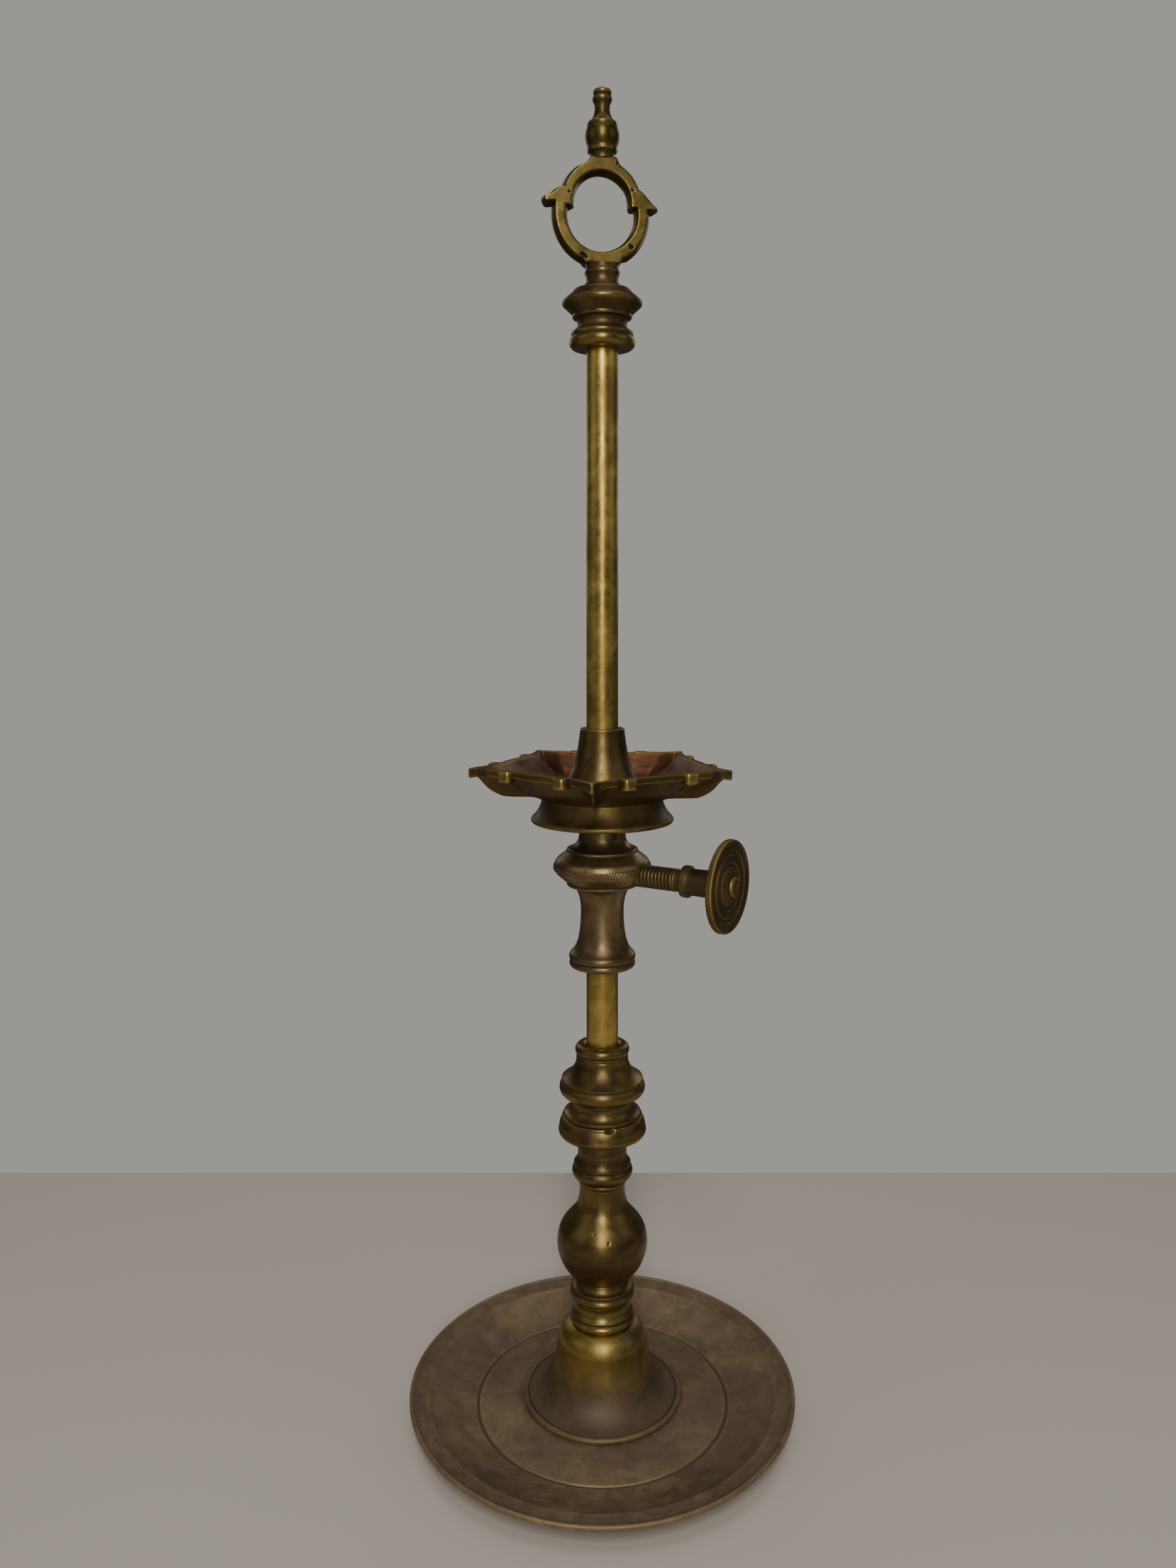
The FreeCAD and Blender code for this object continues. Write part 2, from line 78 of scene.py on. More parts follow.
def mesh_wear_and_shade(mesh, passes, scale=0.0003):
    """For each point, above 0 on ridges and corners and below 0 in grooves."""
    count = len(mesh.vertices)
    place, normal = np.zeros(count * 3), np.zeros(count * 3)
    mesh.vertices.foreach_get("co", place)
    mesh.vertices.foreach_get("normal", normal)
    place, normal = place.reshape(-1, 3), normal.reshape(-1, 3)
    edges = np.zeros(len(mesh.edges) * 2, np.int64)
    mesh.edges.foreach_get("vertices", edges)
    a, b = edges.reshape(-1, 2).T
    degree = np.maximum(np.bincount(a, minlength=count) + np.bincount(b, minlength=count), 1)
    smooth = place.copy()
    for _ in range(passes):
        for axis in range(3):
            near = (np.bincount(a, smooth[b, axis], count)
                    + np.bincount(b, smooth[a, axis], count))
            smooth[:, axis] = 0.5 * smooth[:, axis] + 0.5 * near / degree
    return np.clip(((place - smooth) * normal).sum(1) / scale, -1, 1).astype(np.float32)


def rings_to_faces(rows, columns, closed):
    """Quads over a stack of rings; closed joins the last ring to the first."""
    faces = []
    for i in range(rows if closed else rows - 1):
        k = (i + 1) % rows
        for j in range(columns):
            m = (j + 1) % columns
            faces.append((i * columns + j, i * columns + m, k * columns + m, k * columns + j))
    return faces


def turned_by(x, y, angle):
    """A point or arrays of points turned about the origin by an angle in radians."""
    return x * math.cos(angle) - y * math.sin(angle), x * math.sin(angle) + y * math.cos(angle)


# ---- outlines -----------------------------------------------------------
LINE_STEP = 0.1               # distance between the points of a smoothed outline
ON_AXIS = 0.01                # a smaller radius or difference of height counts as none
OFF_SEAM = 0.002              # how far a point of a seam may lie off its half plane


def about_stem(co):
    """Radius, height and distance off the half plane of the stem's seams."""
    return co.x / MM, co.z / MM, co.y / MM


def about_screw(co):
    """Radius, distance along the thumbscrew and distance off the half plane of its seams."""
    p = co / MM - screw_start
    return p.z, p.dot(screw_axis), p.dot(screw_axis.cross(UP))


def on_screw(points):
    """Points from the screw's own axes (up, sideways, along) to the frame's."""
    side = screw_axis.cross(UP)
    return [screw_start + UP * x + side * y + screw_axis * z for x, y, z in points]


def seam(node, about):
    """Outline (radius, height) of a turned CAD node, read along its seam. It is closed,
    or it starts and ends on the axis."""
    mesh = frame["nodes"][node].data
    links = {}
    for edge in mesh.edges:
        ends = [about(mesh.vertices[i].co) for i in edge.vertices]
        if max(abs(e[2]) for e in ends) > OFF_SEAM or min(e[0] for e in ends) < -0.001:
            continue
        p, q = ((round(max(r, 0.0), 3), round(z, 3)) for r, z, _ in ends)
        if p != q:
            links.setdefault(p, set()).add(q)
            links.setdefault(q, set()).add(p)
    # A flat face can have no edge along the seam, so two ends at one height are joined.
    loose = [p for p in links if len(links[p]) == 1]
    for p in loose:
        beside = [q for q in loose if q != p and abs(q[1] - p[1]) < ON_AXIS
                  and q not in links[p] and len(links[q]) == 1]
        if beside and len(links[p]) == 1 and p[0] > ON_AXIS:
            q = min(beside, key=lambda other: abs(other[0] - p[0]))
            if q[0] > ON_AXIS:
                links[p].add(q)
                links[q].add(p)
    loose = [p for p in links if len(links[p]) == 1]
    here = min(loose, key=lambda p: p[1]) if loose else min(links)
    outline = [here]
    while True:
        ahead = [p for p in sorted(links[here]) if p not in outline]
        if not ahead:
            break
        here = ahead[0]
        outline.append(here)
    if loose:
        for end in (0, -1):
            if outline[end][0] > ON_AXIS:
                outline.insert(0 if end == 0 else len(outline), (0.0, outline[end][1]))
    return np.array(outline), not loose


def curved(outline, closed, sharp=24.0, step=LINE_STEP):
    """The outline at an even step, with smooth curves through its gentle bends. A bend of
    more than sharp degrees stays a corner."""
    count = len(outline)
    ahead = np.roll(outline, -1, 0) - outline
    if not closed:
        ahead[-1] = ahead[-2]
    length = np.maximum(np.hypot(*ahead.T), 1e-9)
    heading = ahead / length[:, None]
    back, back_length = np.roll(heading, 1, 0), np.roll(length, 1)
    if not closed:
        back[0], back_length[0] = heading[0], length[0]
    gentle = (heading * back).sum(1) > math.cos(math.radians(sharp))
    shared = heading * length[:, None] + back * back_length[:, None]
    shared /= np.maximum(np.hypot(*shared.T), 1e-9)[:, None]
    leaving = np.where(gentle[:, None], shared, heading)
    arriving = np.where(gentle[:, None], shared, back)
    dense = []
    for i in range(count if closed else count - 1):
        j = (i + 1) % count
        t = np.linspace(0, 1, max(2, math.ceil(length[i] / step)), endpoint=False)[:, None]
        dense.append((2 * t ** 3 - 3 * t ** 2 + 1) * outline[i]
                     + (3 * t ** 2 - 2 * t ** 3) * outline[j]
                     + length[i] * ((t ** 3 - 2 * t ** 2 + t) * leaving[i]
                                    + (t ** 3 - t ** 2) * arriving[j]))
    dense = np.concatenate(dense + ([] if closed else [outline[-1:]]))
    return evenly(dense, closed, step)


def evenly(points, closed, step):
    """The same line, divided into equal steps."""
    if closed:
        points = np.concatenate([points, points[:1]])
    along = np.concatenate([[0], np.cumsum(np.linalg.norm(np.diff(points, axis=0), axis=1))])
    count = max(8, round(along[-1] / step))
    at = np.linspace(0, along[-1], count, endpoint=not closed)
    return np.stack([np.interp(at, along, axis) for axis in points.T], 1)


def blurred(points, closed, reach):
    """Each point moved to the mean of its neighbours, weighted over a reach in points."""
    half = math.ceil(3 * reach)
    weight = np.exp(-0.5 * (np.arange(-half, half + 1) / reach) ** 2)
    weight /= weight.sum()
    if closed:
        padded = np.concatenate([points[-half:], points, points[:half]])
    else:
        padded = np.concatenate([2 * points[0] - points[half:0:-1], points,
                                 2 * points[-1] - points[-2:-half - 2:-1]])
    return np.stack([np.convolve(axis, weight, "valid") for axis in padded.T], 1)


def needed(points, tolerance, longest):
    """Which points an outline needs to keep its shape within a tolerance."""
    keep = np.zeros(len(points), bool)
    keep[[0, -1]] = True
    spans = [(0, len(points) - 1)]
    while spans:
        a, b = spans.pop()
        if b - a < 2:
            continue
        chord = points[b] - points[a]
        length = np.hypot(*chord)
        away = points[a + 1:b] - points[a]
        if length > 1e-9:
            off = np.abs(away[:, 0] * chord[1] - away[:, 1] * chord[0]) / length
        else:
            off = np.hypot(*away.T)
        k = int(off.argmax())
        if off[k] > tolerance:
            split = a + 1 + k
        elif length > longest:
            split = (a + b) // 2
        else:
            continue
        keep[split] = True
        spans += [(a, split), (split, b)]
    return keep


# ---- turned pieces ------------------------------------------------------
CORNER = 0.16                 # reach over which an outline's corners are rounded
FULL_RIDGE = 0.24             # a ridge this far above its surroundings is fully rubbed, and a groove this far below it is fully darkened with dirt and painted shade
DENT_SHADE = 0.2              # a dent deeper than this is darkened with dirt and painted shade
BEAD_COLUMNS = 6              # columns of points across one bead of a milled line
ROPE_SUNK = 0.15              # how deep a milled line's middle lies below its radius


def handmade(seed, amount, size, bore=8.0, dents=()):
    """Relief of a turned piece outside its bore: a slow uneven swelling, and dents. A dent is
    (turn in degrees, height, half height, depth, stretch, slant in radians)."""
    def relief(r, z, turn):
        if r < bore:
            return 0.0
        where = Vector((r * math.cos(turn), r * math.sin(turn), z)) / size
        out = amount * (noise.noise(where + Vector((seed, 0, 0))) - 0.6)
        for at, height, half, depth, stretch, slant in dents:
            if abs(z - height) > half * stretch:
                continue
            across = r * ((turn - math.radians(at) + math.pi) % (2 * math.pi) - math.pi)
            up = z - height
            u = across * math.cos(slant) + up * math.sin(slant)
            v = up * math.cos(slant) - across * math.sin(slant)
            away = math.hypot(u / stretch, v) / half
            if away < 1:
                out -= depth * (1 - away * away) ** 2
        return out
    return relief


def turned(node, material, segments=192, relief=None, body="stand", about=about_stem,
           longest=1.2, tolerance=0.012, extra=(), edge_wear_and_shade=0.0, soft=0.7):
    """A finer copy of a turned CAD node: smooth curves, softened corners and relief.
    longest is the greatest distance between rings and extra lists (low, high, step) stretches
    that need closer ones. edge_wear_and_shade is the rubbing between cut lines, and it also
    darkens the cuts themselves with dirt and painted shade. soft is the reach over which corners
    count as ridges."""
    outline, closed = seam(node, about)
    line = blurred(curved(outline, closed), closed, CORNER / LINE_STEP)
    if not closed:
        line[[0, -1], 0] = 0.0
    line[:, 0] = np.maximum(line[:, 0], 0.0)
    x, y = line.T
    if (x * np.roll(y, -1) - np.roll(x, -1) * y).sum() < 0:
        line = line[::-1]
    broad = blurred(line, closed, soft / LINE_STEP)
    if closed:
        heading = np.roll(line, -1, 0) - np.roll(line, 1, 0)
    else:
        heading = np.gradient(line, axis=0)
    outward = np.stack([heading[:, 1], -heading[:, 0]], 1)
    outward /= np.maximum(np.hypot(*outward.T), 1e-9)[:, None]
    wear_dirt_and_shade = np.clip(((line - broad) * outward).sum(1) / FULL_RIDGE, -1, 1)
    keep = needed(line, tolerance, longest)
    for low, high, gap in extra:
        near = (line[:, 1] > low) & (line[:, 1] < high)
        keep |= near & (np.arange(len(line)) % max(1, round(gap / LINE_STEP)) == 0)
    line, wear_dirt_and_shade = line[keep], wear_dirt_and_shade[keep]
    if not closed:
        poles, line, wear_dirt_and_shade = (line[0, 1], line[-1, 1]), line[1:-1], wear_dirt_and_shade[1:-1]
    points, shade = [], []
    for (r, z), value in zip(line, wear_dirt_and_shade):
        for j in range(segments):
            turn = 2 * math.pi * j / segments
            lift = relief(r, z, turn) if relief else 0.0
            points.append(((r + lift) * math.cos(turn), (r + lift) * math.sin(turn), z))
            # Cut lines and dents get dirt and painted shade in their depths; the crests between
            # cuts are rubbed.
            if lift and edge_wear_and_shade:
                shade.append(value + edge_wear_and_shade * (1 + 6 * lift))
            else:
                shade.append(value + 2 * min(0.0, lift + DENT_SHADE))
    faces = rings_to_faces(len(line), segments, closed)
    if not closed:
        for first, height, flip in ((0, poles[0], 1), ((len(line) - 1) * segments, poles[1], -1)):
            pole = len(points)
            points.append((0.0, 0.0, height))
            shade.append(0.0)
            for j in range(segments):
                rim = (first + (j + 1) % segments, first + j)[::flip]
                faces.append((pole, *rim))
    if about is about_screw:
        points = on_screw(points)
    return add_piece(node + "_turned", points, faces, body, material, [node],
                     np.clip(np.array(shade, np.float32), -1, 1))


def rope(name, radius, height, body, material, wide=0.6, proud=0.34, pitch=1.05,
         slant=0.5, rows=12, about=about_stem):
    """Milled line around a turned piece: a rounded band cut into slanted beads."""
    beads = round(2 * math.pi * radius / pitch)
    columns = beads * BEAD_COLUMNS
    points, shade = [], []
    for i in range(rows):
        phi = 2 * math.pi * i / rows
        outward = math.cos(phi)
        face = outward ** 0.5 if outward > 0 else outward
        for j in range(columns):
            turn = 2 * math.pi * j / columns
            bead = abs(math.sin(0.5 * beads * turn + slant * math.pi * math.sin(phi)))
            out = radius - ROPE_SUNK + proud * (0.2 + 0.8 * bead) * face
            points.append((out * math.cos(turn), out * math.sin(turn),
                           height + wide * math.sin(phi)))
            # Dirt and painted shade between the beads; their crests are rubbed.
            shade.append(1.6 * bead - 1.1)
    if about is about_screw:
        points = on_screw(points)
    return add_piece(name, points, rings_to_faces(rows, columns, True), body, material,
                     wear_dirt_and_shade=np.clip(np.array(shade, np.float32), -1, 1))


# ---- the pan ------------------------------------------------------------
SPOUTS = 5
SPOUT_TURN = -94.0            # direction of the front spout
SIDE_POINTS, LUG_POINTS, TIP_POINTS = 30, 14, 18     # outline points between its corners
TIP_COLUMN = SIDE_POINTS + LUG_POINTS + TIP_POINTS   # place of the tip within one spout
PER_SPOUT = 2 * TIP_COLUMN
RIM_CORNER = (47.0, 14.2)     # along and across a spout, where a lug sits
RIM_LOW, RIM_TOP = 318.7, 322.0
UNDERSIDE, PAN_FLOOR = 306.55, 310.0
PAN_BORE, MIDDLE = 11.0, 20.0          # radii of the hole and of a circle around it
# Outlines at a height: reach of the tip, keel's root, lug's corner, reach of the side's middle.
OUTSIDE = (
    (UNDERSIDE, 28.9, (28.5, 0.9), (27.4, 7.4), 28.2),
    (307.7, 33.0, (31.2, 1.3), (29.6, 8.1), 30.2),
    (308.5, 44.5, (33.2, 1.7), (31.2, 8.7), 31.8),
    (309.4, 48.4, (35.6, 2.5), (33.4, 9.8), 33.8),
    (312.4, 53.6, (40.6, 3.7), (38.2, 11.6), 38.4),
    (317.0, 57.6, (46.8, 5.9), (43.6, 13.0), 43.4),
    (RIM_LOW, 59.8, (50.0, 7.0), (46.2, 13.8), 45.4))
RIM = (62.2, (53.8, 6.6), RIM_CORNER, 46.4)
# The rim's band from its lower edge up: height and how far it stands beyond RIM.
BAND = ((RIM_LOW + 0.05, -0.5), (RIM_LOW + 0.1, -0.15), (RIM_LOW + 0.3, 0.0),
        (RIM_TOP - 2.1, 0.04), (RIM_TOP - 1.0, 0.04), (RIM_TOP - 0.3, 0.0),
        (RIM_TOP - 0.08, -0.12), (RIM_TOP, -0.4))
TIP_DROOP = 0.5               # by how much of its depth the rim's lower part is deeper at a tip
TIP_REACH = 8.0               # over how many outline points that fades
LIP_ROLL = 0.3                # how far the inside starts below the rim's top
INSIDE = (
    (RIM_TOP, 58.2, (50.6, 5.9), (45.1, 12.6), 44.1),
    (318.0, 55.6, (46.0, 4.8), (42.2, 11.9), 42.0),
    (315.0, 51.6, (40.6, 3.2), (38.2, 11.0), 38.2),
    (312.4, 46.5, (36.4, 2.1), (34.2, 9.7), 34.4),
    (PAN_FLOOR, 31.0, (29.0, 1.0), (26.8, 7.2), 27.4))
# Black patches left by the wicks: spout, first and last outline point.
SOOT = ((0, 64, 71), (0, 32, 38), (0, 86, 91), (4, 71, 79), (4, 96, 99), (1, 45, 52),
        (2, 70, 74), (3, 50, 56))
# A lug: its width, how far it reaches out and back from the rim's corner, its underside, the
# radius of its corners, and its turn away from the spout. LUG_HALF is about half its size.
LUG_WIDE, LUG_OUT, LUG_BACK, LUG_LOW, LUG_ROUND, LUG_LEAN = 6.6, 2.9, -2.4, 317.1, 1.7, 40.8
LUG_HALF = 3.0
# A lug's rows from below: height, and about how far its sides are drawn in there.
LUG_ROWS = ((LUG_LOW, 0.55), (LUG_LOW + 0.12, 0.25), (LUG_LOW + 0.5, 0.0), (LUG_LOW + 1.7, 0.0),
            (LUG_LOW + 3.2, 0.0), (RIM_TOP - 0.35, 0.05), (RIM_TOP + 0.02, 0.3),
            (RIM_TOP + 0.1, 0.8))


def star(tip, root, corner, middle):
    """Dense five-pointed outline with softened corners, from reaches and (along, across)."""
    half = math.pi / SPOUTS
    root_r, root_turn = math.hypot(*root), math.atan2(root[1], root[0])
    corner_r, corner_turn = math.hypot(*corner), math.atan2(corner[1], corner[0])
    corners, counts = [], []
    for i in range(SPOUTS):
        spout = math.radians(SPOUT_TURN + 360 / SPOUTS * i)
        for r, turn, count in (
                (middle, -half, SIDE_POINTS), (corner_r, -corner_turn, LUG_POINTS),
                (root_r, -root_turn, TIP_POINTS), (tip, 0.0, TIP_POINTS),
                (root_r, root_turn, LUG_POINTS), (corner_r, corner_turn, SIDE_POINTS)):
            corners.append((r * math.cos(spout + turn), r * math.sin(spout + turn)))
            counts.append(count)
    line = []
    for i, count in enumerate(counts):
        a, b = np.array(corners[i]), np.array(corners[(i + 1) % len(corners)])
        line.append(a + (b - a) * (np.arange(count) / count)[:, None])
    return blurred(np.concatenate(line), True, reach=1.7)


def level(outline, height):
    """The outline's points at one height."""
    return np.column_stack([outline, np.full(len(outline), height)])


def scaled(outline, by):
    """The outline moved away from the stem by a distance."""
    return outline * (1 + by / np.hypot(*outline.T))[:, None]


def between(rows, parts):
    """Rows with smoothly curved rows added between them."""
    rows = [2 * rows[0] - rows[1]] + rows + [2 * rows[-1] - rows[-2]]
    result = []
    for a, b, c, d in zip(rows, rows[1:], rows[2:], rows[3:]):
        for t in np.arange(parts) / parts:
            result.append(b + 0.5 * t * (c - a + t * (2 * a - 5 * b + 4 * c - d
                                                      + t * (3 * (b - c) + d - a))))
    return result + [rows[-2]]


def lug_block(turn, side):
    """Rounded block on the rim of the spout at a turn: its points and faces."""
    outline = [(LUG_BACK, -LUG_WIDE / 2)]
    for corner_turn, sign in ((-90, -1), (0, 1)):
        for k in range(7):
            a = math.radians(corner_turn + 15 * k)
            outline.append((LUG_OUT - LUG_ROUND + LUG_ROUND * math.cos(a),
                            sign * (LUG_WIDE / 2 - LUG_ROUND) + LUG_ROUND * math.sin(a)))
    outline.append((LUG_BACK, LUG_WIDE / 2))
    outline += [(LUG_BACK, LUG_WIDE * (0.5 - k / 6)) for k in range(1, 6)]
    middle = np.array([(LUG_OUT + LUG_BACK) / 2, 0.0])
    rows = [level(middle + (np.array(outline) - middle) * (1 - inset / LUG_HALF), height)
            for height, inset in LUG_ROWS]
    columns = len(outline)
    points = np.concatenate(rows + [[[*middle, LUG_LOW]], [[*middle, RIM_TOP + 0.12]]])
    faces = rings_to_faces(len(rows), columns, False)
    bottom, top, last = len(points) - 2, len(points) - 1, (len(rows) - 1) * columns
    for j in range(columns):
        k = (j + 1) % columns
        faces.append((bottom, k, j))
        faces.append((top, last + j, last + k))
    x, y, z = points.T
    x, y = turned_by(x, y, math.radians(side * LUG_LEAN))
    x, y = turned_by(x + RIM_CORNER[0], y + side * RIM_CORNER[1], math.radians(turn))
    return np.column_stack([x, y, z]), faces


def swollen(p):
    """A point of the pan moved by up to about 0.2 mm, for the unevenness of hand work."""
    swell = 0.16 * noise.noise(Vector(p) / 11) + 0.06 * noise.noise(Vector(p) / 3.1)
    wider = 1 + swell / math.hypot(p[0], p[1])
    higher = 0.12 * noise.noise(Vector((p[0] * wider, p[1] * wider, p[2])) / 9
                                + Vector((7, 0, 0)))
    return p[0] * wider, p[1] * wider, p[2] + higher


def pan_bowl(material):
    """The five-spouted pan with its keels, rim and lugs."""
    rim = star(*RIM)
    circle = rim / np.hypot(*rim.T)[:, None]
    column = np.arange(len(rim)) % PER_SPOUT
    tips = np.exp(-((column - TIP_COLUMN) / TIP_REACH) ** 2)
    outside = between([level(star(*rest), z) for z, *rest in OUTSIDE], 4)
    inside = between([level(star(*rest), z) for z, *rest in INSIDE], 4)
    band = []
    for height, by in BAND:
        row = level(scaled(rim, by), height)
        row[:, 2] -= TIP_DROOP * tips * max(0.0, RIM_TOP - 1.0 - height)
        band.append(row)
    lip = level(scaled(inside[0][:, :2], 0.35), RIM_TOP)
    inside[0][:, 2] -= LIP_ROLL
    rows = [level(PAN_BORE * circle, UNDERSIDE), level(MIDDLE * circle, UNDERSIDE)]
    first_outside = len(rows)
    rows += outside
    first_band = len(rows)
    rows += band + [lip]
    last_band = first_band + len(band) - 1
    first_inside = len(rows)
    rows += inside + [level(MIDDLE * circle, PAN_FLOOR), level(PAN_BORE * circle, PAN_FLOOR)]
    columns = len(rim)
    faces = rings_to_faces(len(rows), columns, True)
    for row in rows[first_outside + 1:-2]:
        row[:] = [swollen(p) for p in row]
    points = np.concatenate(rows)
    # How black the soot is at each point. It is fainter round the edge of a patch.
    soot = np.zeros(len(points))
    for spout, low, high in SOOT:
        for row in range(first_band + 1, last_band):
            for k in range(low, high + 1):
                end = k in (low, high) or row in (first_band + 1, last_band - 1)
                at = row * columns + spout * PER_SPOUT + k
                soot[at] = max(soot[at], 0.4 if end else 1.0)
    for i in range(SPOUTS):
        for side in (-1, 1):
            block, block_faces = lug_block(SPOUT_TURN + 360 / SPOUTS * i, side)
            faces += [tuple(len(points) + k for k in f) for f in block_faces]
            points = np.concatenate([points, block])
    piece = add_piece("pan_bowl_five_spouts", points, faces, "pan",
                      material, ["pan_bowl"], passes=4)
    wear_dirt_and_shade = piece.data.attributes["wear_dirt_and_shade"].data
    for i, value in enumerate(soot):
        if value:
            wear_dirt_and_shade[i].value = -value
    for i in range(len(soot), len(points)):
        wear_dirt_and_shade[i].value = 0.5 + 0.5 * max(0.0, wear_dirt_and_shade[i].value)
    warm = np.zeros(len(points), np.float32)
    warm[first_inside * columns:len(soot)] = 1.0
    layer = piece.data.attributes.new("warm", "FLOAT", "POINT")
    layer.data.foreach_set("value", warm)


# ---- the ring handle ----------------------------------------------------
RING_TURN = math.radians(9.0)          # the ring's plane, turned about the stem
RING_HALF = 4.75                       # half its thickness
RING_CENTRE = np.array((-0.8, 558.6))
# Half width of the flats that meet the spool and the knob, a margin beside them, and the
# length over which the edge takes on its own shape beyond it.
RING_SEAT, SEAT_MARGIN, SEAT_FADE = 7.4, 0.2, 2.2
RING_HOLLOW = 0.25            # a corner this far off its surroundings is fully darkened with dirt and painted shade, or fully rubbed
# The edge from a face to the middle of the thickness: distance from the middle, and how far
# the edge stands beyond the CAD outline.
RING_EDGE = ((RING_HALF, -0.35), (RING_HALF - 0.05, -0.12), (RING_HALF - 0.25, 0.06),
             (3.0, 0.55), (1.5, 1.04), (0.7, 1.28), (0.0, 1.36))
# Even points in the faces: first and end place, and step, across and in height.
GRID_ACROSS, GRID_HEIGHT = (-28, 28, 0.9), (537, 584, 0.85)
# Casting pits in the faces: across, height, half size, stretch, tilt, front (-1) or back (1).
PITS = ((11.9, 545.6, 0.95, 1.0, 0.0, -1), (-8.6, 541.4, 0.8, 2.2, -0.6, -1),
        (-14.7, 566.6, 0.35, 1.3, 0.4, -1), (12.5, 568.5, 0.4, 1.2, -0.5, -1),
        (5.8, 579.0, 0.4, 1.0, 0.0, -1), (-6.5, 578.2, 0.6, 1.4, 0.3, 1),
        (13.4, 549.0, 0.7, 1.3, 0.8, 1))
PIT_DEPTH = 1.3               # depth of a pit as a share of its half size


def face_loops(node):
    """Outer and inner outline (across, height) of the ring's front face."""
    mesh = frame["nodes"][node].data
    flat = {}
    for vertex in mesh.vertices:
        x, y, z = vertex.co / MM
        across, off = turned_by(x, y, -RING_TURN)
        if abs(off + RING_HALF) < 0.01:
            flat[vertex.index] = (round(across, 3), round(z, 3))
    seen = {}
    for polygon in mesh.polygons:
        if all(i in flat for i in polygon.vertices):
            corners = [flat[i] for i in polygon.vertices]
            for p, q in zip(corners, corners[1:] + corners[:1]):
                if p != q:
                    key = tuple(sorted((p, q)))
                    seen[key] = seen.get(key, 0) + 1
    links = {}
    for p, q in (edge for edge, times in seen.items() if times == 1):
        links.setdefault(p, []).append(q)
        links.setdefault(q, []).append(p)
    loops = []
    while links:
        here = min(links)
        loop = []
        while here in links:
            loop.append(here)
            ahead = [q for q in links.pop(here) if q in links]
            here = ahead[0] if ahead else None
        loops.append(np.array(loop))
    loops.sort(key=lambda loop: -np.ptp(loop[:, 0]))
    return loops[:2]


def inside_loop(points, loop):
    """Which points lie inside a closed outline."""
    x, y = points[:, 0, None], points[:, 1, None]
    x0, y0 = loop.T
    x1, y1 = np.roll(loop, -1, 0).T
    crossing = ((y0 > y) != (y1 > y)) & (x < (x1 - x0) * (y - y0) / (y1 - y0 + 1e-12) + x0)
    return crossing.sum(1) % 2 == 1


def pit_points(side):
    """Closely set points in rings over each pit of one face."""
    places = []
    for x, y, half, stretch, tilt, where in PITS:
        if where == side:
            for k in range(1, 7):
                for j in range(14):
                    a = 2 * math.pi * j / 14
                    u, v = turned_by(half * stretch * math.cos(a) * k / 6,
                                     half * math.sin(a) * k / 6, tilt)
                    places.append((x + u, y + v))
    return places


def pit_depths(places, side):
    """How deep the pits of one face are at each place."""
    depth = np.zeros(len(places))
    for x, y, half, stretch, tilt, where in PITS:
        if where == side:
            u, v = turned_by(places[:, 0] - x, places[:, 1] - y, -tilt)
            near = np.clip(1 - (u / stretch / half) ** 2 - (v / half) ** 2, 0, 1)
            depth = np.maximum(depth, PIT_DEPTH * half * near ** 0.7)
    return depth


def ring_face(outline, opening, side):
    """Points inside one face, their depth, and triangles over the outlines and the points."""
    rim = np.concatenate([outline, opening])
    shift = GRID_ACROSS[2] / 2
    grid = np.array([(x + shift * (row % 2), y) for row, y in enumerate(np.arange(*GRID_HEIGHT))
                     for x in np.arange(*GRID_ACROSS)] + pit_points(side))
    grid = grid[inside_loop(grid, outline) & ~inside_loop(grid, opening)]
    gap = np.min(np.hypot(*(grid[:, None] - rim[None]).transpose(2, 0, 1)), 1)
    grid = grid[gap > 0.3]
    every = np.concatenate([rim, grid])
    edges = []
    for first, count in ((0, len(outline)), (len(outline), len(opening))):
        edges += [(first + i, first + (i + 1) % count) for i in range(count)]
    _, _, triangles, origin, _, _ = geometry.delaunay_2d_cdt(
        [Vector(p) for p in every], edges, [], 0, 1e-7)
    triangles = [[origin[i][0] for i in t] for t in triangles]
    centres = np.array([every[t].mean(0) for t in triangles])
    fits = inside_loop(centres, outline) & ~inside_loop(centres, opening)
    return grid, pit_depths(grid, side), [t for t, fit in zip(triangles, fits) if fit]


